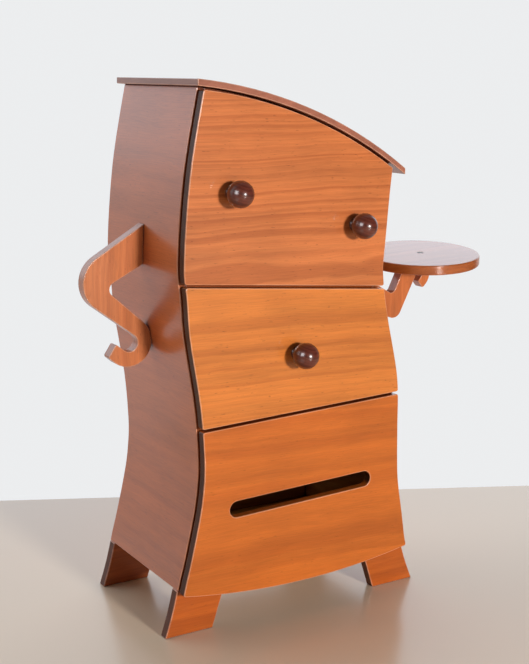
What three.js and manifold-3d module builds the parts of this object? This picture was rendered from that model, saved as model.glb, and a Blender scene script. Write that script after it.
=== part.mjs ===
// A wooden chest of three drawers in the shape of a waiter: a money box with a mouth slot.
// Millimetres. While building: x to the right, y from front to back, z up.
// y = 0 is the front of the carcass and x = 0 lies midway between the feet.
import * as THREE from 'three';
import { mergeVertices } from 'three/addons/utils/BufferGeometryUtils.js';
import Module from 'manifold-3d';

const wasm = await Module();
wasm.setup();

// ---- Carcass ----
const BODY_WIDTH = 215;        // across the body above its skirt
const DEPTH = 145;             // outer face of the front board to outer face of the back board
const BOARD = 10;              // front and back boards
const WALL = 7;                // side panels, measured level
const SHELF = 6;               // shelves and floor
const RAIL = 12;               // front board under the lowest drawer opening
const STILE = 8;               // front board beside an opening
const SKIRT_FLARE = 30.5;      // each foot's outer corner beyond the body's side
const GLUE = 0.1;              // glue line between two carcass pieces

// ---- Feet ----
const FOOT_HEIGHT = 43;        // floor to the lower edge of the side panels
const FOOT_WIDTH = 48;         // on the floor
const FOOT_LEAN = 14;          // the inner edge leans in by this much up to the board

// ---- Roof: a board bent to an arc, high on the left ----
const ROOF = 6;
const ROOF_DROP = 82;          // right end below the left end
const ROOF_CROWN = 15.6;       // arc above its chord
const ROOF_LEFT = 6.4;         // overhangs beyond the carcass
const ROOF_RIGHT = 12;
const ROOF_FRONT = 13;
const ROOF_BACK = 4;

// ---- Seams between the drawer fronts ----
const SEAM = 2.6;              // gap between two drawer fronts
const UPPER_SEAM_TILT = -4.9;  // degrees, falling to the right
const LOWER_SEAM_TILT = 2.1;   // degrees, rising to the right
const RAIL_SPARE = 0.75;       // a slanting seam's highest point to the top of the rail behind it

// ---- Clear heights of the drawer openings ----
const BOTTOM_BAY = 133;
const MIDDLE_BAY = 98.8;
const TOP_BAY = 86.7;

const slope = (degrees) => Math.tan(THREE.MathUtils.degToRad(degrees));
// Each rail is as high as the slanting seam in front of it, so no drawer box meets a lower front.
const railBehind = (tilt) => SEAM + 2 * RAIL_SPARE + BODY_WIDTH * Math.abs(slope(tilt));

const lowerRail = railBehind(LOWER_SEAM_TILT);
const upperRail = railBehind(UPPER_SEAM_TILT);
const floorTop = FOOT_HEIGHT + RAIL;
const lowerShelfTop = floorTop + BOTTOM_BAY + lowerRail;
const upperShelfTop = lowerShelfTop + MIDDLE_BAY + upperRail;
// The top opening ends level with the underside of the roof's lower end.
const HEIGHT = upperShelfTop + TOP_BAY + ROOF + ROOF_DROP;

// ---- Drawer fronts: boards that lie over the openings ----
const FRONT = 9;               // thickness
const FRONT_GAP = 2;           // front board to the back of a drawer front
const REVEAL = 1.2;            // side of the carcass to the side of a drawer front
const ROOF_REVEAL = 2.4;       // roof to the top drawer front
const FRONT_CORNER = 2;        // corner radius
const CHIN_LAP = 2;            // ends of the lowest front's curved edge below the side panels
const CHIN_SAG = 10.8;         // the curve below its ends

// ---- Drawer boxes ----
const BOX_WALL = 6;
const BOX_BASE = 4;
const BOX_SIDE_PLAY = 0.8;     // box to guide, each side
const BOX_LIFT = 0.3;          // box to shelf
const BOX_TOP_PLAY = 3;        // box to the rail above
const GUIDE_WIDTH = 6;
const GUIDE_HEIGHT = 10;
const STOP_DEPTH = 10;
const STOP_WIDTH = 40;
const STOP_HEIGHT = 14;
const STOP_PLAY = 0.3;

// ---- Face: knobs and mouth ----
const BALL = 24;               // knob diameter
const KNOB_STANDOFF = 15;      // drawer front to the ball's centre
const NECK = 10.4;             // diameter at the narrowest
const KNOB_FOOT = 13;          // diameter on the drawer front
const KNOB_FOOT_RIM = 0.8;     // drawer front to the end of the foot's straight edge
const KNOB_FOOT_HEIGHT = 2.6;  // drawer front to the start of the neck
const KNOB_BORE_DEPTH = 11;
const LEFT_EYE = { fromSide: 42.8, above: 82 };    // above the seam under the drawer
const RIGHT_EYE = { fromSide: 37.3, above: 58.5 };
const NOSE = { fromMiddle: -8.5, above: 56.5 };
const MOUTH_HEIGHT = 15;
const MOUTH_BELOW_SEAM = 78.5;
const MOUTH_INSET_LEFT = 5;    // mouth to the inside of the drawer box
const MOUTH_INSET_RIGHT = 11;

// ---- Screws and dowels ----
const SCREW_SHANK = 3.6;
const SCREW_HEAD = 7.2;
const HEAD_DEPTH = 2.4;
const DRIVER_SLOT = 1;
const DRIVER_SLOT_DEPTH = 0.9;
const KNOB_SCREW_GRIP = 9;     // length inside the knob
const TRAY_SCREW_GRIP = 5.5;   // length inside the hand
const SCREW_PLAY = 0.15;
const DOWEL = 6;
const DOWEL_GRIP = 11;         // length inside the arm
const DOWEL_SPACING = 13;
const DOWELS_DOWN = 3.7;       // middle of a shoulder to the point midway between its dowels
const DOWEL_PLAY = 0.1;

// ---- Arms and tray ----
const ARM = 12;                // board thickness
const TRAY = 122;              // diameter
const TRAY_THICK = 10;
const TRAY_EDGE = 1.6;         // rounding of the rim
const TRAY_LEAN_FRONT = 4;     // degrees, down to the front
const TRAY_LEAN_RIGHT = -2.3;  // degrees; it rises to the right
const TRAY_OUT = 106.2;        // from the right shoulder to the middle of the tray's top
const TRAY_UP = 18;
const LEFT_SHOULDER_UP = 39;   // from the upper seam's middle to the middle of a shoulder
const RIGHT_SHOULDER_UP = -10.4;
const SEAT_GAP = 0.3;          // hand to tray

const ARC_STEPS = 16;
const CURVE_SAMPLES = 240;
const SPLINE_SAMPLES = 160;
const MEET_STEPS = 12;
const SMALL_ROUND = 16;        // flats round a screw or dowel
const KNOB_ROUND = 28;
const TRAY_ROUND = 64;
const ROUND_ERROR = 0.06;      // flats stay this close to the curve that they follow
const END_FLAT = 2 * FRONT_CORNER;   // shortest flat at the end of a side, with room for a corner
const REACH = 400;             // longer than any piece, for cutting tools

// A line across the body gives its height at each x, and how many flats follow its curve.
const straight = (height, degrees) => ({ at: (x) => height + x * slope(degrees), steps: 1 });
const lifted = (line, by) => ({ at: (x) => line.at(x) + by, steps: line.steps });

// ---- Outline of the body ----

// How far the middle of the body sways to the side on its way up: [share of height, x].
const SWAY = [
  [0, 0], [0.09, -1.6], [0.145, -0.4], [0.22, 0.7], [0.27, 1.9], [0.33, 2.2], [0.43, -0.7],
  [0.55, -12.1], [0.625, -16.7], [0.68, -17.7], [0.84, -10.7], [0.99, 3],
];
// How much of the skirt's flare is left, and a slight waist: [share of height, share of the flare].
const FLARE = [
  [0, 1], [0.045, 0.74], [0.09, 0.54], [0.145, 0.35], [0.22, 0.11], [0.27, 0.02], [0.33, -0.01],
  [0.43, 0.03], [0.55, -0.02], [0.625, -0.07], [0.68, -0.02], [0.76, 0], [1, 0],
];

function curveThrough(knots) {
  const points = knots.map(([share, value]) => new THREE.Vector2(share * HEIGHT, value));
  const samples = new THREE.SplineCurve(points).getPoints(SPLINE_SAMPLES);
  return (z) => {
    let i = 1;
    while (i < samples.length - 1 && samples[i].x < z) i += 1;
    const a = samples[i - 1];
    const b = samples[i];
    return a.y + ((b.y - a.y) * (z - a.x)) / (b.x - a.x);
  };
}

const sway = curveThrough(SWAY);
const flare = curveThrough(FLARE);

// The heights at which flats must meet to stay close to a curve between two of its heights.
function flatEnds(curve, from, to) {
  let [worst, split] = [0, 0];
  for (let i = 1; i < CURVE_SAMPLES; i += 1) {
    const share = i / CURVE_SAMPLES;
    const z = from + (to - from) * share;
    const error = Math.abs(curve(z) - curve(from) - (curve(to) - curve(from)) * share);
    if (error > worst) [worst, split] = [error, z];
  }
  if (worst < ROUND_ERROR) return [];
  return [...flatEnds(curve, from, split), split, ...flatEnds(curve, split, to)];
}

// A side of the body gives its x at each height. All pieces that follow it share its flats.
function bodySide(direction) {
  const curve = (z) => sway(z) + direction * (BODY_WIDTH / 2 + SKIRT_FLARE * flare(z));
  const ends = [0, ...flatEnds(curve, 0, HEIGHT), HEIGHT];
  const at = (z) => {
    const i = ends.findIndex((end, index) => index > 0 && (z <= end || index === ends.length - 1));
    const [low, high] = [ends[i - 1], ends[i]];
    return curve(low) + ((curve(high) - curve(low)) * (z - low)) / (high - low);
  };
  return { at, ends };
}

const leftSide = bodySide(-1);
const rightSide = bodySide(1);
const shifted = (side, by) => ({ at: (z) => side.at(z) + by, ends: side.ends });

// The arc from a to b that stands `crown` over its chord.
function arc(a, b, crown) {
  const chord = Math.hypot(b[0] - a[0], b[1] - a[1]);
  const radius = (chord * chord / 4 + crown * crown) / (2 * crown);
  const up = [-(b[1] - a[1]) / chord, (b[0] - a[0]) / chord];
  const centreX = (a[0] + b[0]) / 2 - up[0] * (radius - crown);
  const centreZ = (a[1] + b[1]) / 2 - up[1] * (radius - crown);
  const at = (x) => centreZ + Math.sign(crown) * Math.sqrt(radius * radius - (x - centreX) ** 2);
  return { at, steps: ARC_STEPS };
}

const roofLeftX = leftSide.at(HEIGHT - ROOF) - ROOF_LEFT;
const roofRightX = rightSide.at(HEIGHT - ROOF_DROP) + ROOF_RIGHT;
const roofTop = arc([roofLeftX, HEIGHT], [roofRightX, HEIGHT - ROOF_DROP], ROOF_CROWN);
const roofUnder = lifted(roofTop, -ROOF);

// Height at which a side of the body meets a line.
function meet(side, line) {
  let z = line.at(0);
  for (let i = 0; i < MEET_STEPS; i += 1) z = line.at(side.at(z));
  return z;
}

// The points of a side from one height up to another, with both ends.
function upSide(side, from, to) {
  const inside = side.ends.filter((z) => z > from + END_FLAT && z < to - END_FLAT);
  return [from, ...inside, to].map((z) => [side.at(z), z]);
}

// The points of a line between two places, without its ends.
function between(line, from, to) {
  const points = [];
  for (let i = 1; i < line.steps; i += 1) {
    const x = from + ((to - from) * i) / line.steps;
    points.push([x, line.at(x)]);
  }
  return points;
}

// ---- Shaping helpers ----

function cleaned(geometry) {
  const bare = geometry.clone();
  bare.deleteAttribute('normal');
  bare.deleteAttribute('uv');
  const merged = mergeVertices(bare, 1e-4);
  const source = merged.index.array;
  const kept = [];
  for (let i = 0; i < source.length; i += 3) {
    const [a, b, c] = [source[i], source[i + 1], source[i + 2]];
    if (a !== b && b !== c && c !== a) kept.push(a, b, c);
  }
  merged.setIndex(kept);
  return merged;
}

function toSolid(geometry) {
  const bare = cleaned(geometry);
  return new wasm.Manifold(new wasm.Mesh({
    numProp: 3,
    vertProperties: new Float32Array(bare.attributes.position.array),
    triVerts: new Uint32Array(bare.index.array),
  }));
}

function toGeometry(solid) {
  const mesh = solid.getMesh();
  const geometry = new THREE.BufferGeometry();
  geometry.setAttribute('position', new THREE.BufferAttribute(new Float32Array(mesh.vertProperties), 3));
  geometry.setIndex(new THREE.BufferAttribute(new Uint32Array(mesh.triVerts), 1));
  return geometry;
}

function cut(geometry, tools) {
  const solid = tools.reduce((left, tool) => left.subtract(toSolid(tool)), toSolid(geometry));
  return toGeometry(solid);
}

// A board whose outline is given as [x, z] points, lying between y0 and y1.
function slab(outline, y0, y1, holes = []) {
  const toVectors = (points) => points.map(([x, z]) => new THREE.Vector2(x, z));
  const shape = new THREE.Shape(toVectors(outline));
  shape.holes = holes.map((hole) => new THREE.Path(toVectors(hole)));
  const geometry = new THREE.ExtrudeGeometry(shape, { depth: y1 - y0, bevelEnabled: false });
  geometry.rotateX(Math.PI / 2);
  geometry.translate(0, y1, 0);
  return geometry;
}

function block(x0, x1, y0, y1, z0, z1) {
  const geometry = new THREE.BoxGeometry(x1 - x0, y1 - y0, z1 - z0);
  geometry.translate((x0 + x1) / 2, (y0 + y1) / 2, (z0 + z1) / 2);
  return geometry;
}

// A turned piece. The profile is [radius, distance along the axis]; the axis is +z.
function turned(profile, segments) {
  const points = profile.map(([r, along]) => new THREE.Vector2(r, along));
  const geometry = new THREE.LatheGeometry(points, segments);
  geometry.rotateX(Math.PI / 2);
  return geometry;
}

// Points on a round, from one angle to another, about a centre.
function round(centreX, centreZ, radius, from, to) {
  const step = 2 * Math.acos(1 - ROUND_ERROR / Math.abs(radius));
  const count = Math.max(2, Math.ceil(Math.abs(to - from) / step));
  const points = [];
  for (let i = 0; i <= count; i += 1) {
    const angle = from + ((to - from) * i) / count;
    points.push([centreX + radius * Math.cos(angle), centreZ + radius * Math.sin(angle)]);
  }
  return points;
}

// A band drawn tight around pegs [x, z, radius], counter-clockwise about the wood.
// A positive radius is an outer round, a negative one an inner round, and 0 a corner.
function band(pegs) {
  const headings = pegs.map(([x, z, r], i) => {
    const [nextX, nextZ, nextR] = pegs[(i + 1) % pegs.length];
    const distance = Math.hypot(nextX - x, nextZ - z);
    return Math.atan2(nextZ - z, nextX - x) - Math.asin((nextR - r) / distance);
  });
  return pegs.flatMap(([x, z, r], i) => {
    if (r === 0) return [[x, z]];
    const before = headings[(i + pegs.length - 1) % pegs.length];
    let turn = headings[i] - before;
    while (turn * Math.sign(r) < 0) turn += 2 * Math.PI * Math.sign(r);
    while (Math.abs(turn) > 2 * Math.PI) turn -= 2 * Math.PI * Math.sign(r);
    return round(x, z, r, before - Math.PI / 2, before - Math.PI / 2 + turn);
  });
}

// Replace one corner of an outline by a round that touches both edges.
function roundedCorner(before, corner, after, radius) {
  const unit = (to) => {
    const length = Math.hypot(to[0] - corner[0], to[1] - corner[1]);
    return [(to[0] - corner[0]) / length, (to[1] - corner[1]) / length];
  };
  const [a, b] = [unit(before), unit(after)];
  const half = Math.acos(a[0] * b[0] + a[1] * b[1]) / 2;
  const middle = [a[0] + b[0], a[1] + b[1]];
  const reach = radius / Math.sin(half) / Math.hypot(...middle);
  const centre = [corner[0] + middle[0] * reach, corner[1] + middle[1] * reach];
  const start = Math.atan2(corner[1] + a[1] * radius / Math.tan(half) - centre[1],
    corner[0] + a[0] * radius / Math.tan(half) - centre[0]);
  let turn = Math.PI - 2 * half;
  const cross = -a[0] * b[1] + a[1] * b[0];
  if (cross < 0) turn = -turn;
  return round(centre[0], centre[1], radius, start, start + turn);
}

// ---- Carcass ----

const upperSeam = straight(upperShelfTop - upperRail / 2, UPPER_SEAM_TILT);
const lowerSeam = straight(lowerShelfTop - lowerRail / 2, LOWER_SEAM_TILT);

function extreme(side, from, to, pick) {
  return pick(...upSide(side, from, to).map(([x]) => x));
}

// The level, square opening between two heights that keeps a stile at each side.
function openingBetween(z0, z1) {
  const side = WALL + GLUE + STILE;
  return {
    x0: extreme(leftSide, z0, z1, Math.max) + side,
    x1: extreme(rightSide, z0, z1, Math.min) - side,
    z0,
    z1,
  };
}

const openings = {
  bottom: openingBetween(floorTop, floorTop + BOTTOM_BAY),
  middle: openingBetween(lowerShelfTop, lowerShelfTop + MIDDLE_BAY),
  top: openingBetween(upperShelfTop, upperShelfTop + TOP_BAY),
};

function boardOutline() {
  const inset = WALL + GLUE;
  const left = shifted(leftSide, inset);
  const right = shifted(rightSide, -inset);
  const under = lifted(roofUnder, -GLUE);
  const leftTop = meet(left, under);
  const rightTop = meet(right, under);
  const shoulder = FOOT_HEIGHT - GLUE;
  const leftInner = leftSide.at(0) + FOOT_WIDTH;
  const rightInner = rightSide.at(0) - FOOT_WIDTH;
  return [
    [leftInner, 0],
    [leftInner + FOOT_LEAN, FOOT_HEIGHT],
    [rightInner - FOOT_LEAN, FOOT_HEIGHT],
    [rightInner, 0],
    ...upSide(rightSide, 0, shoulder),
    ...upSide(right, shoulder, rightTop),
    ...between(under, right.at(rightTop), left.at(leftTop)),
    ...upSide(left, shoulder, leftTop).reverse(),
    ...upSide(leftSide, 0, shoulder).reverse(),
  ];
}

function windowOutline({ x0, x1, z0, z1 }) {
  return [[x0, z0], [x0, z1], [x1, z1], [x1, z0]];
}

function frontFrame() {
  return slab(boardOutline(), 0, BOARD, Object.values(openings).map(windowOutline));
}

function backPanel() {
  return slab(boardOutline(), DEPTH - BOARD, DEPTH);
}

function sidePanel(side, inward) {
  const under = lifted(roofUnder, -GLUE);
  const inner = shifted(side, inward * WALL);
  const outerLine = upSide(side, FOOT_HEIGHT, meet(side, under));
  const innerLine = upSide(inner, FOOT_HEIGHT, meet(inner, under)).reverse();
  return slab([...outerLine, ...innerLine], 0, DEPTH);
}

function roofBoard() {
  const [left, right] = [roofLeftX, roofRightX];
  const top = [[left, HEIGHT], ...between(roofTop, left, right), [right, HEIGHT - ROOF_DROP]];
  const under = top.map(([x, z]) => [x, z - ROOF]).reverse();
  return slab([...top, ...under], -ROOF_FRONT, DEPTH + ROOF_BACK);
}

function shelfBelow(top) {
  const x0 = extreme(leftSide, top - SHELF, top, Math.max) + WALL + GLUE;
  const x1 = extreme(rightSide, top - SHELF, top, Math.min) - WALL - GLUE;
  return block(x0, x1, BOARD + GLUE, DEPTH - BOARD - GLUE, top - SHELF, top);
}

function guides({ x0, x1, z0 }) {
  const [y0, y1] = [BOARD + GLUE, DEPTH - BOARD - GLUE];
  const [low, high] = [z0 + GLUE, z0 + GLUE + GUIDE_HEIGHT];
  return [block(x0 - GUIDE_WIDTH, x0, y0, y1, low, high), block(x1, x1 + GUIDE_WIDTH, y0, y1, low, high)];
}

const stopFace = DEPTH - BOARD - GLUE - STOP_DEPTH;

function stopBlock({ x0, x1, z0 }) {
  const middle = (x0 + x1) / 2;
  return block(middle - STOP_WIDTH / 2, middle + STOP_WIDTH / 2, stopFace, stopFace + STOP_DEPTH,
    z0 + GLUE, z0 + GLUE + STOP_HEIGHT);
}

// ---- Screws ----

// Turned about +z from the tip at 0 up to the head's flat top.
function screwProfile(length, play) {
  const shank = SCREW_SHANK / 2 + play;
  const head = SCREW_HEAD / 2 + play;
  return [[0, -play], [shank, -play], [shank, length - HEAD_DEPTH], [head, length], [0, length]];
}

function screw(length) {
  const body = turned(screwProfile(length, 0), SMALL_ROUND);
  const slot = block(-SCREW_HEAD, SCREW_HEAD, -DRIVER_SLOT / 2, DRIVER_SLOT / 2,
    length - DRIVER_SLOT_DEPTH, length + DRIVER_SLOT_DEPTH);
  return cut(body, [slot]);
}

function screwHole(length) {
  const profile = screwProfile(length, SCREW_PLAY);
  const mouth = [SCREW_HEAD / 2 + SCREW_PLAY, length + HEAD_DEPTH];
  return turned([...profile.slice(0, 4), mouth, [0, mouth[1]]], SMALL_ROUND);
}

// ---- Drawers ----

const frontY = -FRONT_GAP - FRONT;

// Outline of a drawer front between a lower and an upper line, with its corners rounded.
function frontOutline(low, high) {
  const left = shifted(leftSide, REVEAL);
  const right = shifted(rightSide, -REVEAL);
  const [leftLow, leftHigh] = [meet(left, low), meet(left, high)];
  const [rightLow, rightHigh] = [meet(right, low), meet(right, high)];
  const outline = [
    ...between(low, left.at(leftLow), right.at(rightLow)),
    ...upSide(right, rightLow, rightHigh),
    ...between(high, right.at(rightHigh), left.at(leftHigh)),
    ...upSide(left, leftLow, leftHigh).reverse(),
  ];
  const corners = [rightLow, rightHigh, leftHigh, leftLow];
  return outline.flatMap((point, i) => {
    if (!corners.includes(point[1])) return [point];
    const before = outline.at(i - 1);
    return roundedCorner(before, point, outline[(i + 1) % outline.length], FRONT_CORNER);
  });
}

// A screw or its hole, lying along -y with the head's flat top on the back of a drawer front.
function placeKnobScrew(geometry, { x, z }) {
  geometry.rotateX(-Math.PI / 2);
  geometry.translate(x, frontY - KNOB_SCREW_GRIP, z);
  return geometry;
}

const knobScrewLength = FRONT + KNOB_SCREW_GRIP;

// The slot runs along the seam above it, between the inner walls of its drawer box.
function mouthOutline({ x0, x1 }) {
  const [radius, quarter] = [MOUTH_HEIGHT / 2, Math.PI / 2];
  const tilt = THREE.MathUtils.degToRad(LOWER_SEAM_TILT);
  const wall = BOX_SIDE_PLAY + BOX_WALL;
  const left = x0 + wall + MOUTH_INSET_LEFT + radius;
  const right = x1 - wall - MOUTH_INSET_RIGHT - radius;
  const height = (x) => lowerSeam.at(x) - MOUTH_BELOW_SEAM;
  return [
    ...round(right, height(right), radius, tilt - quarter, tilt + quarter),
    ...round(left, height(left), radius, tilt + quarter, tilt + 3 * quarter),
  ];
}

function drawerFront(low, high, knobs, cutouts) {
  const board = slab(frontOutline(low, high), frontY, -FRONT_GAP, cutouts);
  return cut(board, knobs.map((at) => placeKnobScrew(screwHole(knobScrewLength), at)));
}

function drawerBox({ x0, x1, z0, z1 }) {
  const [left, right] = [x0 + BOX_SIDE_PLAY, x1 - BOX_SIDE_PLAY];
  const [low, high] = [z0 + BOX_LIFT, z1 - BOX_TOP_PLAY];
  const [near, far] = [-FRONT_GAP + GLUE, stopFace - STOP_PLAY];
  const [innerLeft, innerRight] = [left + BOX_WALL + GLUE, right - BOX_WALL - GLUE];
  return {
    left_side: block(left, left + BOX_WALL, near, far, low, high),
    right_side: block(right - BOX_WALL, right, near, far, low, high),
    back: block(innerLeft, innerRight, far - BOX_WALL, far, low, high),
    base: block(innerLeft, innerRight, near, far - BOX_WALL - GLUE, low, low + BOX_BASE),
  };
}

function knob({ x, z }) {
  const [ball, neck, bore] = [BALL / 2, NECK / 2, SCREW_SHANK / 2 + SCREW_PLAY];
  const start = -Math.acos(neck / ball);
  const arc = round(0, KNOB_STANDOFF, ball, start, Math.PI / 2);
  const profile = [
    [0, KNOB_BORE_DEPTH], [bore, KNOB_BORE_DEPTH], [bore, 0], [KNOB_FOOT / 2, 0],
    [KNOB_FOOT / 2, KNOB_FOOT_RIM], [neck, KNOB_FOOT_HEIGHT], ...arc.slice(0, -1), [0, KNOB_STANDOFF + ball],
  ];
  const geometry = turned(profile, KNOB_ROUND);
  geometry.rotateX(Math.PI / 2);
  geometry.translate(x, frontY, z);
  return geometry;
}

// ---- Arms and tray ----

const armY = [(DEPTH - ARM) / 2, (DEPTH + ARM) / 2];
const leftShoulderZ = upperSeam.at(0) + LEFT_SHOULDER_UP;
const rightShoulderZ = upperSeam.at(0) + RIGHT_SHOULDER_UP;
const dowelsAt = (shoulderZ) => ({
  lower: shoulderZ - DOWELS_DOWN - DOWEL_SPACING / 2,
  upper: shoulderZ - DOWELS_DOWN + DOWEL_SPACING / 2,
});
const leftDowels = dowelsAt(leftShoulderZ);
const rightDowels = dowelsAt(rightShoulderZ);

// The arms are drawn from the point where the shoulder's middle meets the body's side:
// [out from the body, up, radius].
const LEFT_ARM = [
  [-9, 22, 0], [32, -34, 26.8], [14.8, -90.5, -8.2], [27.6, -92.8, 1.6], [32.6, -101.6, 2.2],
  [15, -90, 22.6], [26.8, -40.2, -6.8], [-9, -14.5, 0],
];
const RIGHT_ARM = [
  [-9, -15.8, 0], [68.6, -36.8, 10], [100.3, -4.6, -3.6], [100.9, -11, 1], [106, -16.2, 1.5],
  [96.9, -2.6, 17.7], [65.4, -15.1, -5], [-9, 23.5, 0],
];

function bodyBlock() {
  const left = upSide(shifted(leftSide, -GLUE), 0, HEIGHT);
  const right = upSide(shifted(rightSide, GLUE), 0, HEIGHT);
  return slab([...right, ...left.reverse()], -DEPTH, 2 * DEPTH);
}

function armBoard(pegs, direction, side, shoulderZ) {
  const placed = pegs.map(([out, up, r]) => [side.at(shoulderZ) + direction * out, shoulderZ + up, r]);
  return cut(slab(band(placed), ...armY), [bodyBlock()]);
}

// A round bar along x through the side panel and into the arm.
function shoulderBar(direction, side, z, radius, inwards, outwards) {
  const bar = new THREE.CylinderGeometry(radius, radius, inwards + outwards, SMALL_ROUND);
  bar.rotateZ(Math.PI / 2);
  bar.translate(side.at(z) + (direction * (outwards - inwards)) / 2, DEPTH / 2, z);
  return bar;
}

function dowel(direction, side, z) {
  return shoulderBar(direction, side, z, DOWEL / 2, WALL - GLUE, DOWEL_GRIP);
}

function dowelHole(direction, side, z) {
  return shoulderBar(direction, side, z, DOWEL / 2 + DOWEL_PLAY, 2 * WALL, DOWEL_GRIP + DOWEL_PLAY);
}

const trayCentre = new THREE.Vector3(
  rightSide.at(rightShoulderZ) + TRAY_OUT, DEPTH / 2, rightShoulderZ + TRAY_UP,
);

// From the tray's own frame, with its top face at 0 and its axis on +z.
function onTray(geometry) {
  geometry.rotateX(THREE.MathUtils.degToRad(TRAY_LEAN_FRONT));
  geometry.rotateY(THREE.MathUtils.degToRad(TRAY_LEAN_RIGHT));
  geometry.translate(trayCentre.x, trayCentre.y, trayCentre.z);
  return geometry;
}

const trayScrewLength = TRAY_THICK + TRAY_SCREW_GRIP;

function tray() {
  const [radius, edge, quarter] = [TRAY / 2, TRAY_EDGE, Math.PI / 2];
  const hole = SCREW_SHANK / 2 + SCREW_PLAY;
  const profile = [
    [hole, -TRAY_THICK],
    ...round(radius - edge, edge - TRAY_THICK, edge, -quarter, 0),
    ...round(radius - edge, -edge, edge, 0, quarter),
    [SCREW_HEAD / 2 + SCREW_PLAY, 0],
    [hole, -HEAD_DEPTH],
    [hole, -TRAY_THICK],
  ];
  return onTray(turned(profile, TRAY_ROUND));
}

function trayScrew() {
  const piece = screw(trayScrewLength);
  piece.translate(0, 0, -trayScrewLength);
  return onTray(piece);
}

function handSeatTools() {
  const above = block(-REACH, REACH, -REACH, REACH, -TRAY_THICK - SEAT_GAP, REACH);
  const pilot = screwHole(trayScrewLength);
  pilot.translate(0, 0, -trayScrewLength);
  return [onTray(above), onTray(pilot)];
}

// ---- Assembly ----

const WOOD = { color: 0xc9783f, roughness: 0.4, metalness: 0 };
const INNER_WOOD = { color: 0xcfa070, roughness: 0.65, metalness: 0 };
const DARK_WOOD = { color: 0x3b1a10, roughness: 0.25, metalness: 0 };
const STEEL = { color: 0x9a9a9c, roughness: 0.35, metalness: 1 };

const bank = new THREE.Group();
bank.name = 'drawer_money_box';

function put(name, geometry, finish) {
  const clean = cleaned(geometry).toNonIndexed();
  clean.computeVertexNormals();
  const mesh = new THREE.Mesh(clean, new THREE.MeshStandardMaterial(finish));
  mesh.name = name;
  bank.add(mesh);
}

function addCarcass() {
  const leftHoles = Object.values(leftDowels).map((z) => dowelHole(-1, leftSide, z));
  const rightHoles = Object.values(rightDowels).map((z) => dowelHole(1, rightSide, z));
  put('front_frame', frontFrame(), WOOD);
  put('back_panel', backPanel(), WOOD);
  put('left_side_panel', cut(sidePanel(leftSide, 1), leftHoles), WOOD);
  put('right_side_panel', cut(sidePanel(rightSide, -1), rightHoles), WOOD);
  put('roof_board', roofBoard(), WOOD);
  put('upper_shelf', shelfBelow(upperShelfTop), INNER_WOOD);
  put('lower_shelf', shelfBelow(lowerShelfTop), INNER_WOOD);
  put('floor_panel', shelfBelow(floorTop), INNER_WOOD);
}

function addRunners() {
  Object.entries(openings).forEach(([bay, opening]) => {
    const [left, right] = guides(opening);
    put(`${bay}_left_guide`, left, INNER_WOOD);
    put(`${bay}_right_guide`, right, INNER_WOOD);
    put(`${bay}_drawer_stop`, stopBlock(opening), INNER_WOOD);
  });
}

function addDrawer(bay, low, high, knobs, cutouts = []) {
  put(`${bay}_drawer_front`, drawerFront(low, high, Object.values(knobs), cutouts), WOOD);
  Object.entries(drawerBox(openings[bay])).forEach(([piece, geometry]) => {
    put(`${bay}_drawer_${piece}`, geometry, INNER_WOOD);
  });
  Object.entries(knobs).forEach(([name, at]) => {
    put(`${name}_knob`, knob(at), DARK_WOOD);
    put(`${name}_screw`, placeKnobScrew(screw(knobScrewLength), at), STEEL);
  });
}

function addDrawers() {
  const on = (line, x, above) => ({ x, z: line.at(x) + above });
  const leftEyeX = leftSide.at(upperSeam.at(0) + LEFT_EYE.above) + REVEAL + LEFT_EYE.fromSide;
  const rightEyeX = rightSide.at(upperSeam.at(0) + RIGHT_EYE.above) - REVEAL - RIGHT_EYE.fromSide;
  const eyes = {
    left_eye: on(upperSeam, leftEyeX, LEFT_EYE.above),
    right_eye: on(upperSeam, rightEyeX, RIGHT_EYE.above),
  };
  const nose = on(lowerSeam, NOSE.fromMiddle, NOSE.above);
  const chinEnd = FOOT_HEIGHT - CHIN_LAP;
  const [chinLeft, chinRight] = [leftSide.at(chinEnd) + REVEAL, rightSide.at(chinEnd) - REVEAL];
  const chin = arc([chinLeft, chinEnd], [chinRight, chinEnd], -CHIN_SAG);
  const gap = SEAM / 2;
  addDrawer('top', lifted(upperSeam, gap), lifted(roofUnder, -ROOF_REVEAL), eyes);
  addDrawer('middle', lifted(lowerSeam, gap), lifted(upperSeam, -gap), { nose });
  addDrawer('bottom', chin, lifted(lowerSeam, -gap), {}, [mouthOutline(openings.bottom)]);
}

function addArm(name, pegs, direction, side, shoulderZ, dowels, extraTools) {
  const holes = Object.values(dowels).map((z) => dowelHole(direction, side, z));
  put(name, cut(armBoard(pegs, direction, side, shoulderZ), [...holes, ...extraTools]), WOOD);
  Object.entries(dowels).forEach(([place, z]) => {
    put(`${name}_${place}_dowel`, dowel(direction, side, z), INNER_WOOD);
  });
}

addCarcass();
addRunners();
addDrawers();
addArm('left_arm', LEFT_ARM, -1, leftSide, leftShoulderZ, leftDowels, []);
addArm('right_arm', RIGHT_ARM, 1, rightSide, rightShoulderZ, rightDowels, handSeatTools());
put('serving_tray', tray(), WOOD);
put('tray_screw', trayScrew(), STEEL);

// Stand the finished bank on the floor, centred over the origin.
const bounds = new THREE.Box3().setFromObject(bank);
const centre = bounds.getCenter(new THREE.Vector3());
bank.children.forEach((mesh) => mesh.geometry.translate(-centre.x, -centre.y, -bounds.min.z));

export default bank;
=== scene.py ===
"""Looks, light and camera for a waiter-shaped wooden chest of drawers. Metres, +Z up."""

import math

import bpy
from mathutils import Euler, Matrix, Vector


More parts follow.
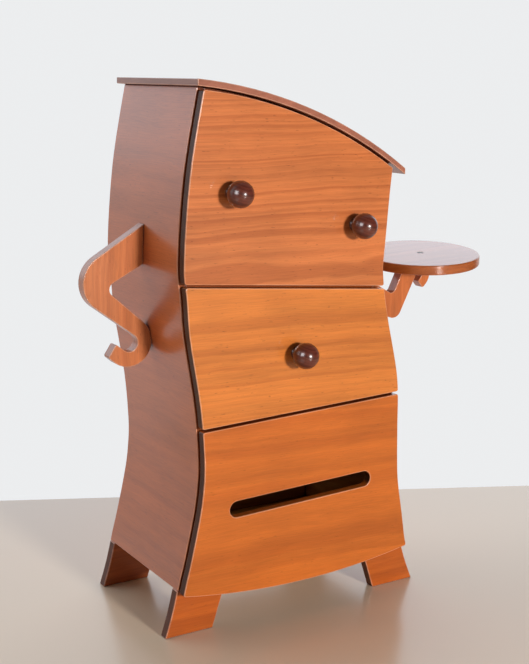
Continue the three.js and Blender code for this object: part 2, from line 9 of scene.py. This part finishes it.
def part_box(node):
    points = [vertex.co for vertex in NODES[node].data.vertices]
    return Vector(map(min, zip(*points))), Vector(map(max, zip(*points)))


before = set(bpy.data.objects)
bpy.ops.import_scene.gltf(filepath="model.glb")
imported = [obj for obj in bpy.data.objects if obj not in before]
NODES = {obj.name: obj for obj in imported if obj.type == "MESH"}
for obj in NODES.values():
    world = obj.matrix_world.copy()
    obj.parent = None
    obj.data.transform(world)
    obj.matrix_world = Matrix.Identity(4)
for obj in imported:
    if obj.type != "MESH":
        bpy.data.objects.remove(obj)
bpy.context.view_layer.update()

MM = 0.001
X_AXIS, Y_AXIS, Z_AXIS = "X", "Y", "Z"
WHITE = (1.0, 1.0, 1.0, 1.0)

# ---- Node tree helpers ----


def add_node(tree, kind, inputs=None, **settings):
    """A node, with its settings, and each input either linked or set."""
    node = tree.nodes.new(kind)
    for name, value in settings.items():
        setattr(node, name, value)
    for name, value in (inputs or {}).items():
        socket = node.inputs[name]
        if isinstance(value, bpy.types.NodeSocket):
            tree.links.new(value, socket)
        else:
            socket.default_value = value
    return node


def calc(tree, operation, *values):
    """One Math node. Its inputs are numbers or sockets."""
    return add_node(
        tree, "ShaderNodeMath", dict(enumerate(values)), operation=operation
    ).outputs[0]


def vector_calc(tree, operation, *values):
    return add_node(
        tree, "ShaderNodeVectorMath", dict(enumerate(values)), operation=operation
    ).outputs[0]


def scaled(tree, vector, factors):
    """A vector with each part multiplied by its own factor."""
    return vector_calc(tree, "MULTIPLY", vector, factors)


# A Noise node's outputs.
NOISE_VALUE, NOISE_COLOUR = 0, 1


def noise(tree, vector, detail=2.0, output=NOISE_VALUE, roughness=0.5):
    return add_node(
        tree,
        "ShaderNodeTexNoise",
        {"Vector": vector, "Scale": 1.0, "Detail": detail, "Roughness": roughness},
    ).outputs[output]


def ramp(tree, value, low, high, out_low=0.0, out_high=1.0):
    """A smooth step from one number to another."""
    return add_node(
        tree,
        "ShaderNodeMapRange",
        {"Value": value, "From Min": low, "From Max": high,
         "To Min": out_low, "To Max": out_high},
        interpolation_type="SMOOTHSTEP",
    ).outputs[0]


# A Mix node's sockets for colours, whose names it also gives to other sockets.
MIX_FACTOR, MIX_FIRST, MIX_SECOND, MIX_RESULT = 0, 6, 7, 2


def blend_colour(tree, factor, first, second, blend_type="MIX"):
    return add_node(
        tree,
        "ShaderNodeMix",
        {MIX_FACTOR: factor, MIX_FIRST: first, MIX_SECOND: second},
        data_type="RGBA",
        blend_type=blend_type,
    ).outputs[MIX_RESULT]


def grey(tree, value):
    return add_node(
        tree, "ShaderNodeCombineColor", {"Red": value, "Green": value, "Blue": value}
    ).outputs[0]


# ---- Wood ----

# How fast each noise changes, per mm: along the grain, then both ways across it.
WANDER_RATE = (0.007, 0.014, 0.014)
RAGGED_RATE = (0.03, 0.22, 0.22)
FIBRE_RATE = (0.035, 1.3, 1.3)
BAND_RATE = (0.0035, 0.06, 0.06)
CLOUD_RATE = (0.012, 0.02, 0.02)
SPECK_RATE = (0.16, 1.1, 1.1)
FIBRE_ROUGHNESS = 0.6
# What a noise's colour averages.
NOISE_MIDDLE = (0.5, 0.5, 0.5)
# How much the years differ in width, in years, and how fast that changes.
UNEVEN_RATE, UNEVEN_YEARS = 0.55, 1.6
RAGGED_YEARS = 0.25
# The share of a year at which late wood begins and is darkest, and the faintest year's strength.
LATE_START, LATE_PEAK = 0.1, 0.75
FAINTEST_YEAR = 0.3
# The range of each noise that counts, and how far it lightens or darkens the wood.
FIBRE_RANGE, FIBRE_SHADE = (0.25, 0.75), (0.9, 1.1)
BAND_RANGE, BAND_SHADE = (0.3, 0.7), (-0.09, 0.09)
CLOUD_RANGE, CLOUD_SHADE = (0.3, 0.7), (-0.06, 0.06)
FLECK_RANGE, FLECK_SHADE = (0.68, 0.78), 0.5
# The cosine between a face's normal and the grain, from side grain to end grain.
END_RANGE = (0.55, 0.95)
# The share of late wood and of fibre in the relief.
LATE_RELIEF, FIBRE_RELIEF = 0.5, 0.5


def wood_group():
    """Wood with its grain along local x and its pith on the x axis. Positions are in mm."""
    tree = bpy.data.node_groups.new("wood", "ShaderNodeTree")
    sockets = (
        ("Position", "NodeSocketVector"),
        ("Normal", "NodeSocketVector"),
        ("Ring", "NodeSocketFloat"),
        ("Contrast", "NodeSocketFloat"),
        ("Fleck", "NodeSocketFloat"),
        ("Wave", "NodeSocketFloat"),
        ("Early", "NodeSocketColor"),
        ("Late", "NodeSocketColor"),
        ("End", "NodeSocketFloat"),
    )
    for name, kind in sockets:
        tree.interface.new_socket(name, in_out="INPUT", socket_type=kind)
    tree.interface.new_socket("Color", in_out="OUTPUT", socket_type="NodeSocketColor")
    tree.interface.new_socket("Height", in_out="OUTPUT", socket_type="NodeSocketFloat")
    tree.interface.new_socket("Soaked", in_out="OUTPUT", socket_type="NodeSocketFloat")
    given = tree.nodes.new("NodeGroupInput").outputs
    position = given["Position"]

    # The trunk isn't straight: the grain wanders to and fro by the wave, in mm.
    wander = noise(tree, scaled(tree, position, WANDER_RATE), output=NOISE_COLOUR)
    wander = vector_calc(tree, "SUBTRACT", wander, NOISE_MIDDLE)
    wander = add_node(
        tree, "ShaderNodeVectorMath", {0: wander, "Scale": given["Wave"]}, operation="SCALE"
    ).outputs[0]
    bent = vector_calc(tree, "ADD", position, wander)
    apart = add_node(tree, "ShaderNodeSeparateXYZ", {0: bent}).outputs
    radius = calc(tree, "SQRT", calc(
        tree, "ADD", calc(tree, "POWER", apart[1], 2.0), calc(tree, "POWER", apart[2], 2.0)
    ))

    # Each year differs in width, and its late wood ends in a crisp line.
    years = calc(tree, "DIVIDE", radius, given["Ring"])
    uneven = add_node(
        tree,
        "ShaderNodeTexNoise",
        {"W": calc(tree, "MULTIPLY", years, UNEVEN_RATE), "Scale": 1.0},
        noise_dimensions="1D",
    ).outputs[0]
    ragged = noise(tree, scaled(tree, bent, RAGGED_RATE))
    years = calc(tree, "ADD", years, calc(tree, "MULTIPLY", uneven, UNEVEN_YEARS))
    years = calc(tree, "ADD", years, calc(tree, "MULTIPLY", ragged, RAGGED_YEARS))
    season = calc(tree, "FRACT", years)
    year = calc(tree, "FLOOR", years)
    darkening = ramp(tree, season, LATE_START, LATE_PEAK)
    fading = ramp(tree, season, LATE_PEAK, 1.0, 1.0, 0.0)
    late = calc(tree, "MULTIPLY", darkening, fading)
    strength = add_node(
        tree, "ShaderNodeTexWhiteNoise", {"W": year}, noise_dimensions="1D"
    ).outputs[0]
    late = calc(tree, "MULTIPLY", late, ramp(tree, strength, 0.0, 1.0, FAINTEST_YEAR, 1.0))
    late = calc(tree, "MULTIPLY", late, given["Contrast"])

    # Fibres, broad bands and short dark resin flecks all run along the grain.
    fibre = noise(tree, scaled(tree, bent, FIBRE_RATE), detail=3.0, roughness=FIBRE_ROUGHNESS)
    bands = noise(tree, scaled(tree, bent, BAND_RATE), detail=1.0)
    cloud = noise(tree, scaled(tree, position, CLOUD_RATE))
    specks = noise(tree, scaled(tree, bent, SPECK_RATE), detail=1.0)
    fleck = calc(tree, "MULTIPLY", ramp(tree, specks, *FLECK_RANGE), given["Fleck"])

    colour = blend_colour(tree, late, given["Early"], given["Late"])
    fibre_shade = ramp(tree, fibre, *FIBRE_RANGE, *FIBRE_SHADE)
    band_shade = ramp(tree, bands, *BAND_RANGE, *BAND_SHADE)
    shade = calc(tree, "ADD", fibre_shade, band_shade)
    shade = calc(tree, "ADD", shade, ramp(tree, cloud, *CLOUD_RANGE, *CLOUD_SHADE))
    fleck_shade = calc(tree, "SUBTRACT", 1.0, calc(tree, "MULTIPLY", fleck, FLECK_SHADE))
    shade = calc(tree, "MULTIPLY", shade, fleck_shade)

    # Stain soaks into the ends of the boards.
    facing = add_node(tree, "ShaderNodeSeparateXYZ", {0: given["Normal"]}).outputs[0]
    end = ramp(tree, calc(tree, "ABSOLUTE", facing), *END_RANGE)
    soaked = calc(tree, "MULTIPLY", end, given["End"])
    shade = calc(tree, "MULTIPLY", shade, calc(tree, "SUBTRACT", 1.0, soaked))
    colour = blend_colour(tree, 1.0, colour, grey(tree, shade), "MULTIPLY")

    late_relief = calc(tree, "MULTIPLY", late, LATE_RELIEF)
    fibre_relief = calc(tree, "MULTIPLY", fibre, FIBRE_RELIEF)
    height = calc(tree, "ADD", late_relief, fibre_relief)
    height = calc(tree, "SUBTRACT", height, fleck)
    out = tree.nodes.new("NodeGroupOutput")
    tree.links.new(colour, out.inputs["Color"])
    tree.links.new(height, out.inputs["Height"])
    tree.links.new(soaked, out.inputs["Soaked"])
    return tree


WOOD = wood_group()

# Turns that carry the grain's direction onto local x.
GRAIN_TURN = {
    X_AXIS: (0.0, 0.0, 0.0),
    Y_AXIS: (0.0, 0.0, -math.pi / 2),
    Z_AXIS: (0.0, math.pi / 2, 0.0),
}
# Painted shade: the dark colour that seams and corners are darkened towards.
SEAM_PAINTED_SHADE = (0.20, 0.06, 0.05, 1.0)
# How far from a seam the painted shade reaches, in mm, and the openness over which it fades.
SEAM_REACH = 6
SEAM_RANGE = (0.15, 0.6)
SEAM_SAMPLES = 4
VARNISH_IOR = 1.5


def wood_material(name, grain, pith, early, late, ring=4.5, contrast=0.6, fleck=0.6, wave=14.0,
                  end=0.4, tilt=0.0, roughness=0.5, coat=1.0, coat_roughness=0.2, bump=0.05,
                  specular=0.12):
    """A board's wood.

    pith is a point on the pith, and wave, ring and bump are lengths, all in mm.
    tilt turns the grain in the xz plane, in degrees.
    """
    material = bpy.data.materials.new(name)
    material.use_nodes = True
    tree = material.node_tree
    shader = tree.nodes["Principled BSDF"]
    coordinates = tree.nodes.new("ShaderNodeTexCoord").outputs
    turn = Euler((0.0, math.radians(tilt), 0.0)).to_matrix()
    turn = Euler(GRAIN_TURN[grain]).to_matrix() @ turn
    angles = turn.to_euler()
    centre = turn @ Vector(pith)
    position = add_node(
        tree,
        "ShaderNodeMapping",
        {"Vector": coordinates["Object"], "Rotation": angles, "Scale": (1 / MM,) * 3,
         "Location": -centre},
        vector_type="POINT",
    ).outputs[0]
    normal = add_node(
        tree,
        "ShaderNodeMapping",
        {"Vector": coordinates["Normal"], "Rotation": angles},
        vector_type="NORMAL",
    ).outputs[0]
    grown = add_node(
        tree,
        "ShaderNodeGroup",
        {"Position": position, "Normal": normal, "Ring": ring, "Contrast": contrast,
         "Fleck": fleck, "Wave": wave, "Early": (*early, 1.0), "Late": (*late, 1.0),
         "End": end},
        node_tree=WOOD,
    )
    relief = add_node(
        tree,
        "ShaderNodeBump",
        {"Height": grown.outputs["Height"], "Strength": 1.0, "Distance": bump * MM},
    ).outputs[0]
    # Painted shade: the colour is darkened in the seams and corners, where less light reaches
    # them.
    open_air = add_node(
        tree,
        "ShaderNodeAmbientOcclusion",
        {"Distance": SEAM_REACH * MM},
        samples=SEAM_SAMPLES,
    ).outputs[1]
    painted_shade = blend_colour(tree, ramp(tree, open_air, *SEAM_RANGE), SEAM_PAINTED_SHADE, WHITE)
    colour = blend_colour(tree, 1.0, grown.outputs["Color"], painted_shade, "MULTIPLY")
    tree.links.new(colour, shader.inputs["Base Color"])
    tree.links.new(relief, shader.inputs["Normal"])
    shader.inputs["Roughness"].default_value = roughness
    # End grain drinks the varnish, so its coat is thin.
    if coat > 0.0:
        left_over = calc(tree, "SUBTRACT", 1.0, grown.outputs["Soaked"])
        varnish = calc(tree, "MULTIPLY", left_over, coat)
        tree.links.new(varnish, shader.inputs["Coat Weight"])
    shader.inputs["Coat Roughness"].default_value = coat_roughness
    shader.inputs["IOR"].default_value = VARNISH_IOR
    shader.inputs["Specular IOR Level"].default_value = specular
    return material


# ---- Softened arrises ----

# Weld distances in mm: for most boards, and for curved ones cut into fine facets.
FINE_WELD, COARSE_WELD = 0.02, 0.4
# Faces that lean less than this, in degrees, are merged into one.
FLAT_ENOUGH = 0.3
# The least angle of an arris, in degrees: on a board, and on a turned piece.
BOARD_SHARP, TURNED_SHARP = 40.0, 50.0
# Widths of the rounded arrises that aren't given with the piece, in mm.
BOARD_ARRIS, BARE_ARRIS, KNOB_ARRIS, SCREW_ARRIS = 0.9, 0.4, 0.3, 0.15


def weld_group(distance):
    """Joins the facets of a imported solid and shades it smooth. The distance is in metres."""
    tree = bpy.data.node_groups.new("weld", "GeometryNodeTree")
    tree.interface.new_socket("Geometry", in_out="INPUT", socket_type="NodeSocketGeometry")
    tree.interface.new_socket("Geometry", in_out="OUTPUT", socket_type="NodeSocketGeometry")
    source = tree.nodes.new("NodeGroupInput")
    weld = add_node(
        tree, "GeometryNodeMergeByDistance",
        {"Geometry": source.outputs[0], "Distance": distance},
    )
    plain = add_node(
        tree, "GeometryNodeSetMeshNormal", {"Mesh": weld.outputs[0]}, mode="SHARPNESS"
    )
    plain.inputs["Remove Custom"].default_value = True
    plain.inputs["Edge Sharpness"].default_value = False
    plain.inputs["Face Sharpness"].default_value = False
    target = tree.nodes.new("NodeGroupOutput")
    tree.links.new(plain.outputs[0], target.inputs[0])
    return tree


WELDS = {}


def soften(node, width, sharp=BOARD_SHARP, segments=2, weld=FINE_WELD, plain=True):
    """Rounds every arris of a CAD node by a width in mm. plain merges its flat faces first."""
    obj = NODES[node]
    if weld not in WELDS:
        WELDS[weld] = weld_group(weld * MM)
    joined = obj.modifiers.new("weld", "NODES")
    joined.node_group = WELDS[weld]
    if plain:
        merged = obj.modifiers.new("plain", "DECIMATE")
        merged.decimate_type = "DISSOLVE"
        merged.angle_limit = math.radians(FLAT_ENOUGH)
    bevel = obj.modifiers.new("arris", "BEVEL")
    bevel.width = width * MM
    bevel.segments = segments
    bevel.limit_method = "ANGLE"
    bevel.angle_limit = math.radians(sharp)
    bevel.use_clamp_overlap = False
    bevel.loop_slide = False
    bevel.face_strength_mode = "FSTR_ALL"
    bevel.material = 1 if len(obj.material_slots) > 1 else -1
    flat = obj.modifiers.new("flat", "WEIGHTED_NORMAL")
    flat.keep_sharp = True
    flat.use_face_influence = True


def dress(node, material, painted_highlight=None):
    """The material of a node, and of its arrises, which are painted paler as a highlight."""
    mesh = NODES[node].data
    mesh.materials.clear()
    mesh.materials.append(material)
    if painted_highlight is not None:
        mesh.materials.append(painted_highlight)


# ---- The boards ----

AMBER = (0.586, 0.164, 0.037)
AMBER_LATE = (0.37, 0.078, 0.014)
# Painted highlight: the arrises lean towards this paler colour by this share, for the light that
# their rounding catches.
ARRIS_HIGHLIGHT = (0.92, 0.56, 0.40)
ARRIS_HIGHLIGHT_SHARE = 0.32


def board(node, grain, pith, width=BOARD_ARRIS, tone=(1.0, 1.0, 1.0), weld=FINE_WELD, plain=True,
          **wood):
    """A varnished board: its own grain, with a painted highlight that makes its rounded arrises
    paler.
    """
    early = tuple(a * t for a, t in zip(AMBER, tone))
    late = tuple(a * t for a, t in zip(AMBER_LATE, tone))
    face = wood_material(node + "_wood", grain, pith, early, late, **wood)
    pale = tuple(a + (b - a) * ARRIS_HIGHLIGHT_SHARE for a, b in zip(early, ARRIS_HIGHLIGHT))
    wood["end"] = 0.0
    # The arrises get a paler copy of the wood: a painted highlight.
    painted_highlight = wood_material(node + "_arris", grain, pith, pale, early, **wood)
    dress(node, face, painted_highlight)
    soften(node, width, weld=weld, plain=plain)


def from_middle(node, x, y, z):
    """A point in mm that is so far from the middle of a node."""
    low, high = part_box(node)
    return (low + high) / 2 / MM + Vector((x, y, z))


board("top_drawer_front", X_AXIS, from_middle("top_drawer_front", 0, 42, -70), ring=4.6,
      contrast=0.6, tone=(0.98, 1.04, 1.3), fleck=0.8, wave=9.0, end=0.85)
board("middle_drawer_front", X_AXIS, from_middle("middle_drawer_front", 0, 55, 45), ring=5.0,
      contrast=0.4, tone=(1.06, 1.14, 0.85), tilt=-2.0, fleck=0.8, wave=9.0, end=0.85)
board("bottom_drawer_front", X_AXIS, from_middle("bottom_drawer_front", 0, 70, -20), ring=8.0,
      contrast=0.35, tone=(0.95, 0.82, 0.4), tilt=-2.0, fleck=0.5, wave=9.0, end=0.85)
board("front_frame", X_AXIS, from_middle("front_frame", 0, 60, -260), ring=5.5, contrast=0.4,
      tone=(0.82, 0.62, 0.25), end=0.75)
# The back panel's darker tone is painted shade: its feet's inner faces lie in the body's shadow.
board("back_panel", X_AXIS, from_middle("back_panel", 0, -80, 40), ring=6.0, contrast=0.5,
      tone=(0.8, 0.65, 0.5), end=0.75)
board("left_side_panel", Y_AXIS, from_middle("left_side_panel", 140, 0, 60), ring=7.0,
      contrast=0.12, tone=(0.95, 0.82, 0.8), weld=COARSE_WELD)
board("right_side_panel", Y_AXIS, from_middle("right_side_panel", -150, 0, 90), ring=7.0,
      contrast=0.12, tone=(0.95, 0.82, 0.8), weld=COARSE_WELD)
# The roof's tone is partly its own wood and partly a painted reflection: it is greyed towards
# pink for the pale veil its varnish mirrors.
board("roof_board", Y_AXIS, from_middle("roof_board", 20, 0, -180), ring=6.0, contrast=0.3,
      tone=(0.62, 0.80, 2.2), width=0.8, end=0.0)
board("left_arm", Z_AXIS, from_middle("left_arm", 30, 40, 0), ring=4.0, contrast=0.4,
      tone=(0.92, 1.02, 1.5), width=0.7, weld=COARSE_WELD, end=0.2)
board("right_arm", Z_AXIS, from_middle("right_arm", -30, 50, 0), ring=4.5, contrast=0.35,
      tone=(0.86, 0.84, 1.0), width=0.7, weld=COARSE_WELD, end=0.2)
board("serving_tray", X_AXIS, from_middle("serving_tray", 0, -20, 60), ring=5.0, contrast=0.35,
      tone=(0.65, 0.6, 0.6), width=0.3, plain=False, end=0.3)

BARE = (0.62, 0.40, 0.20)
BARE_LATE = (0.46, 0.25, 0.10)


def bare_board(node, grain, pith):
    """Sanded wood without varnish, inside."""
    material = wood_material(node + "_wood", grain, pith, BARE, BARE_LATE, ring=4.2, contrast=0.6,
                             end=0.2, roughness=0.62, coat=0.0, bump=0.08)
    dress(node, material)
    soften(node, BARE_ARRIS, segments=1)


BAYS = ("bottom", "middle", "top")
for shelf in ("floor_panel", "lower_shelf", "upper_shelf"):
    bare_board(shelf, X_AXIS, from_middle(shelf, 0, 20, -60))
for bay in BAYS:
    for side in ("left", "right"):
        bare_board(f"{bay}_{side}_guide", Y_AXIS, from_middle(f"{bay}_{side}_guide", 30, 0, 40))
        bare_board(f"{bay}_drawer_{side}_side", Y_AXIS,
                   from_middle(f"{bay}_drawer_{side}_side", 60, 0, -20))
    bare_board(f"{bay}_drawer_stop", X_AXIS, from_middle(f"{bay}_drawer_stop", 0, 30, 30))
    bare_board(f"{bay}_drawer_back", X_AXIS, from_middle(f"{bay}_drawer_back", 0, 50, -25))
    bare_board(f"{bay}_drawer_base", X_AXIS, from_middle(f"{bay}_drawer_base", 0, 25, -70))
for arm in ("left", "right"):
    for place in ("lower", "upper"):
        dowel = f"{arm}_arm_{place}_dowel"
        bare_board(dowel, X_AXIS, from_middle(dowel, 0, 20, 15))

# ---- Knobs and screws ----

KNOB_EARLY, KNOB_LATE = (0.115, 0.026, 0.016), (0.05, 0.010, 0.007)

for knob in ("left_eye_knob", "right_eye_knob", "nose_knob"):
    dark = wood_material(knob + "_wood", Y_AXIS, from_middle(knob, 5, 0, 30),
                         KNOB_EARLY, KNOB_LATE, ring=3.0, contrast=0.8,
                         fleck=1.0, wave=6.0, end=0.0, roughness=0.35, coat=1.0,
                         coat_roughness=0.22, bump=0.06)
    dress(knob, dark)
    soften(knob, KNOB_ARRIS, sharp=TURNED_SHARP, segments=1)


# How fast the turning marks and the tarnish change, per mm along x, y and z.
MARK_RATE, TARNISH_RATE = (2.5, 2.5, 0.6), (0.35, 0.35, 0.35)
TARNISH_RANGE = (0.35, 0.7)
MARK_RANGE, MARK_ROUGHNESS = (0.3, 0.7), (0.25, 0.42)
MARK_DEPTH = 0.02


def steel_material(name, bright, dull):
    """Screw steel with fine turning marks and a little tarnish."""
    material = bpy.data.materials.new(name)
    material.use_nodes = True
    tree = material.node_tree
    shader = tree.nodes["Principled BSDF"]
    place = scaled(tree, tree.nodes.new("ShaderNodeTexCoord").outputs["Object"], (1 / MM,) * 3)
    marks = noise(tree, scaled(tree, place, MARK_RATE), detail=3.0)
    tarnish = noise(tree, scaled(tree, place, TARNISH_RATE))
    colour = blend_colour(tree, ramp(tree, tarnish, *TARNISH_RANGE), bright, dull)
    relief = add_node(
        tree, "ShaderNodeBump", {"Height": marks, "Distance": MARK_DEPTH * MM}
    ).outputs[0]
    tree.links.new(colour, shader.inputs["Base Color"])
    roughness = ramp(tree, marks, *MARK_RANGE, *MARK_ROUGHNESS)
    tree.links.new(roughness, shader.inputs["Roughness"])
    tree.links.new(relief, shader.inputs["Normal"])
    shader.inputs["Metallic"].default_value = 1.0
    return material


PLATED = steel_material("plated_steel", (0.62, 0.61, 0.60, 1.0), (0.40, 0.38, 0.36, 1.0))
# The tray's screw is a darker steel than the others.
DARK_STEEL = steel_material("dark_steel", (0.20, 0.16, 0.14, 1.0), (0.07, 0.05, 0.045, 1.0))
for screw, steel in (("left_eye_screw", PLATED), ("right_eye_screw", PLATED),
                     ("nose_screw", PLATED), ("tray_screw", DARK_STEEL)):
    dress(screw, steel)
    soften(screw, SCREW_ARRIS, sharp=TURNED_SHARP, segments=1)

# ---- Floor ----

FLOOR_COLOUR = (0.74, 0.61, 0.47, 1.0)
FLOOR_ROUGHNESS = 0.22
# The table's far edge passes behind the object at a slant, and the table reaches forward from
# it. It reaches by its size to either side of that point, too.
FLOOR_BACK = Vector((0.0, 0.288, 0.0))
FLOOR_SLANT = math.radians(-25.4)
FLOOR_SIZE = 3.5


def floor():
    """A plain pale table top that ends behind the object."""
    along = Vector((math.cos(FLOOR_SLANT), math.sin(FLOOR_SLANT), 0.0)) * FLOOR_SIZE
    near = Vector((along.y, -along.x, 0.0))
    left, right = FLOOR_BACK - along, FLOOR_BACK + along
    mesh = bpy.data.meshes.new("floor")
    mesh.from_pydata([left, left + near, right + near, right], [], [(0, 1, 2, 3)])
    obj = bpy.data.objects.new("floor", mesh)
    bpy.context.scene.collection.objects.link(obj)
    material = bpy.data.materials.new("pale_table")
    material.use_nodes = True
    shader = material.node_tree.nodes["Principled BSDF"]
    shader.inputs["Base Color"].default_value = FLOOR_COLOUR
    shader.inputs["Roughness"].default_value = FLOOR_ROUGHNESS
    shader.inputs["IOR"].default_value = VARNISH_IOR
    mesh.materials.append(material)


floor()

# ---- Light ----

# The light from in front, and from behind as it lands on things.
FRONT_GLOOM = (0.035, 0.033, 0.03, 1.0)
BACK_LIGHT = (1.20, 1.20, 1.22, 1.0)
# What the varnish mirrors from behind, low down and higher up.
LOW_GLARE = (0.80, 0.72, 0.70, 1.0)
HIGH_GLARE = (1.55, 1.65, 1.8, 1.0)
# What is seen behind the object.
BACKDROP = (0.84, 0.85, 0.86, 1.0)
# The part of a direction towards +Y, and towards +Z, over which one turns into the other.
BEHIND_RANGE = (0.0, 0.5)
RISE_RANGE = (-0.1, 0.2)


def sky():
    """Pale light from all round: bright behind the object and dimmer in front of it."""
    world = bpy.data.worlds.new("studio")
    world.use_nodes = True
    tree = world.node_tree
    direction = tree.nodes.new("ShaderNodeTexCoord").outputs["Generated"]
    apart = add_node(tree, "ShaderNodeSeparateXYZ", {0: direction}).outputs
    behind = ramp(tree, apart[1], *BEHIND_RANGE)
    path = tree.nodes.new("ShaderNodeLightPath").outputs
    soft = blend_colour(tree, behind, FRONT_GLOOM, BACK_LIGHT)
    glare = blend_colour(tree, ramp(tree, apart[2], *RISE_RANGE), LOW_GLARE, HIGH_GLARE)
    mirrored = blend_colour(tree, behind, FRONT_GLOOM, glare)
    colour = blend_colour(tree, path["Is Glossy Ray"], soft, mirrored)
    colour = blend_colour(tree, path["Is Camera Ray"], colour, BACKDROP)
    tree.links.new(colour, tree.nodes["Background"].inputs["Color"])
    bpy.context.scene.world = world


MIDDLE = Vector((0.0, 0.0, 0.25))


def lamp(name, size, power, colour, azimuth, elevation, distance):
    """A square soft light that looks at the object's middle.

    Azimuth is from -Y towards -X when negative and towards +X when positive, in degrees.
    """
    data = bpy.data.lights.new(name, "AREA")
    data.size = size
    data.energy = power
    data.color = colour
    a, e = math.radians(azimuth), math.radians(elevation)
    away = Vector((math.sin(a) * math.cos(e), -math.cos(a) * math.cos(e), math.sin(e)))
    obj = bpy.data.objects.new(name, data)
    obj.location = MIDDLE + away * distance
    obj.rotation_euler = away.to_track_quat("Z", "Y").to_euler()
    bpy.context.scene.collection.objects.link(obj)
    return obj


sky()
lamp("key", size=0.35, power=80.0, colour=(1.0, 0.97, 0.93), azimuth=4.0, elevation=9.0,
     distance=3.0)
window = lamp("window", size=0.9, power=34.0, colour=(0.95, 0.97, 1.0), azimuth=-66.0,
              elevation=22.0, distance=2.2)
# The window is there only for its reflection in the varnish.
window.visible_diffuse = False

# ---- Camera ----

CAMERA_PLACE = (-0.6472, -1.0016, 0.5017)
# Yaw is from +Y towards +X, pitch is downwards and roll is about the view, in degrees.
CAMERA_YAW, CAMERA_PITCH, CAMERA_ROLL = 31.64, 9.25, 0.44
# The lens and the sensor's longer side, in mm.
CAMERA_LENS, CAMERA_SENSOR = 67.93, 36.0
# How far the picture is shifted, in shares of its longer side.
CAMERA_SHIFT_X, CAMERA_SHIFT_Y = -0.0143, -0.0843


def camera():
    """Stands at the left front, level with the roof, and looks down slightly."""
    yaw, pitch, roll = (math.radians(a) for a in (CAMERA_YAW, CAMERA_PITCH, CAMERA_ROLL))
    level = Vector((math.sin(yaw), math.cos(yaw), 0.0))
    right = Vector((math.cos(yaw), -math.sin(yaw), 0.0))
    up = Vector((0.0, 0.0, 1.0))
    ahead = level * math.cos(pitch) - up * math.sin(pitch)
    above = up * math.cos(pitch) + level * math.sin(pitch)
    across = right * math.cos(roll) + above * math.sin(roll)
    above = above * math.cos(roll) - right * math.sin(roll)
    data = bpy.data.cameras.new("camera")
    data.sensor_width = CAMERA_SENSOR
    data.lens = CAMERA_LENS
    data.shift_x = CAMERA_SHIFT_X
    data.shift_y = CAMERA_SHIFT_Y
    obj = bpy.data.objects.new("camera", data)
    turn = Matrix((across, above, -ahead)).transposed().to_4x4()
    obj.matrix_world = Matrix.Translation(CAMERA_PLACE) @ turn
    bpy.context.scene.collection.objects.link(obj)
    bpy.context.scene.camera = obj


camera()
bpy.context.scene.view_settings.view_transform = "Standard"

bpy.context.view_layer.update()
